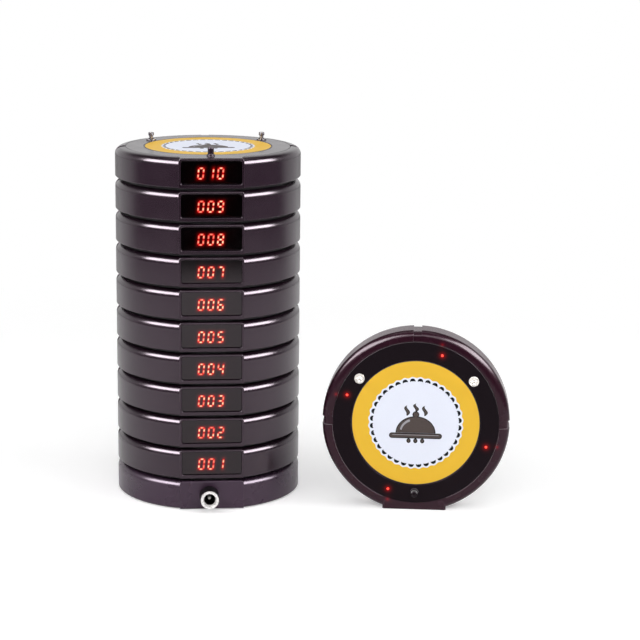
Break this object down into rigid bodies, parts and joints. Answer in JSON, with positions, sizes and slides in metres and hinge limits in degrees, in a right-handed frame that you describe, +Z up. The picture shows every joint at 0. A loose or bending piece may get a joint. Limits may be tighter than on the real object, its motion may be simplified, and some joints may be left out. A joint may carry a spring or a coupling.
{
  "type": "guest pager system",
  "caption": "Stack of round coaster pagers with lit number windows on a charging base, with one loose pager standing beside it.",
  "frame": {"origin": "centre of the charging base's underside, on the table", "axes": "+Z up the stack, -Y towards the side with the windows and the DC inlet, +X towards the loose pager"},
  "size_m": [0.2309, 0.1254, 0.2133],
  "materials": {
    "pager_plastic": "satin moulded ABS",
    "base_cover_plastic": "satin moulded ABS, a little more purple",
    "smoked_plastic": "dark smoked moulded plastic",
    "black_plastic": "fine-grained black moulding",
    "window_plastic": "polished dark window",
    "display_plastic": "display module with red segments",
    "label_film": "printed label with a satin film",
    "stud_metal": "nickel-plated turned studs",
    "plate_brass": "gold-flashed contact plate",
    "screw_metal": "black-zinc self-tapping screws",
    "inlet_nickel": "nickel plate",
    "circuit_board": "green solder mask",
    "lamp_plastic": "red lamp domes, lit",
    "battery_foil": "foil pouch cell",
    "motor_steel": "drawn steel can",
    "weight_metal": "sintered weight on a ground shaft",
    "pad_rubber": "matt anti-slip rubber"
  },
  "bodies": {
    "charging_base": {"base_cover": "base_cover_plastic", "base_bottom_plate": "black_plastic", "base_anti_slip_pad": "pad_rubber", "base_circuit_board": "circuit_board", "base_contact_studs": "stud_metal", "base_screws": "screw_metal", "base_dc_sleeve": "black_plastic", "base_dc_barrel": "inlet_nickel", "base_dc_pin": "inlet_nickel"},
    "pager_01": {"pager_01_cover": "pager_plastic", "pager_01_bottom_shell": "black_plastic", "pager_01_contacts": "stud_metal"},
    "pager_02": {"pager_02_cover": "pager_plastic", "pager_02_bottom_shell": "black_plastic", "pager_02_contacts": "stud_metal"},
    "pager_03": {"pager_03_cover": "pager_plastic", "pager_03_bottom_shell": "black_plastic", "pager_03_contacts": "stud_metal"},
    "pager_04": {"pager_04_cover": "pager_plastic", "pager_04_bottom_shell": "black_plastic", "pager_04_contacts": "stud_metal"},
    "pager_05": {"pager_05_cover": "pager_plastic", "pager_05_bottom_shell": "black_plastic", "pager_05_contacts": "stud_metal"},
    "pager_06": {"pager_06_cover": "pager_plastic", "pager_06_bottom_shell": "black_plastic", "pager_06_contacts": "stud_metal"},
    "pager_07": {"pager_07_cover": "pager_plastic", "pager_07_bottom_shell": "black_plastic", "pager_07_contacts": "stud_metal"},
    "pager_08": {"pager_08_cover": "pager_plastic", "pager_08_bottom_shell": "black_plastic", "pager_08_contacts": "stud_metal"},
    "pager_09": {"pager_09_cover": "pager_plastic", "pager_09_bottom_shell": "black_plastic", "pager_09_contacts": "stud_metal"},
    "pager_10": {"pager_10_cover": "pager_plastic", "pager_10_bottom_shell": "black_plastic", "pager_10_contacts": "stud_metal"},
    "loose_pager": {"loose_cover": "smoked_plastic", "loose_label": "label_film", "loose_window_lens": "window_plastic", "loose_display": "display_plastic", "loose_bottom_shell": "black_plastic", "loose_contact_studs": "stud_metal", "loose_contact_plates": "plate_brass", "loose_circuit_board": "circuit_board", "loose_indicator_lamps": "lamp_plastic", "loose_battery": "battery_foil", "loose_vibration_motor": "motor_steel", "loose_buzzer": "black_plastic", "loose_screws": "screw_metal"},
    "motor_weight": {"loose_motor_weight": "weight_metal"}
  },
  "joints": [
    {"name": "lift_01", "type": "slide", "parent": "charging_base", "child": "pager_01", "axis": [0, 0, 1], "range_m": [0, 0.02]},
    {"name": "lift_02", "type": "slide", "parent": "pager_01", "child": "pager_02", "axis": [0, 0, 1], "range_m": [0, 0.02]},
    {"name": "lift_03", "type": "slide", "parent": "pager_02", "child": "pager_03", "axis": [0, 0, 1], "range_m": [0, 0.02]},
    {"name": "lift_04", "type": "slide", "parent": "pager_03", "child": "pager_04", "axis": [0, 0, 1], "range_m": [0, 0.02]},
    {"name": "lift_05", "type": "slide", "parent": "pager_04", "child": "pager_05", "axis": [0, 0, 1], "range_m": [0, 0.02]},
    {"name": "lift_06", "type": "slide", "parent": "pager_05", "child": "pager_06", "axis": [0, 0, 1], "range_m": [0, 0.02]},
    {"name": "lift_07", "type": "slide", "parent": "pager_06", "child": "pager_07", "axis": [0, 0, 1], "range_m": [0, 0.02]},
    {"name": "lift_08", "type": "slide", "parent": "pager_07", "child": "pager_08", "axis": [0, 0, 1], "range_m": [0, 0.02]},
    {"name": "lift_09", "type": "slide", "parent": "pager_08", "child": "pager_09", "axis": [0, 0, 1], "range_m": [0, 0.02]},
    {"name": "lift_10", "type": "slide", "parent": "pager_09", "child": "pager_10", "axis": [0, 0, 1], "range_m": [0, 0.02]},
    {"name": "loose_lift", "type": "slide", "parent": "charging_base", "child": "loose_pager", "axis": [0, 0, 1], "range_m": [0, 0.05]},
    {"name": "weight_spin", "type": "hinge", "parent": "loose_pager", "child": "motor_weight", "pos_m": [0.15375, -0.052, 0.061], "axis": [0, 0, 1], "continuous": true}
  ]
}
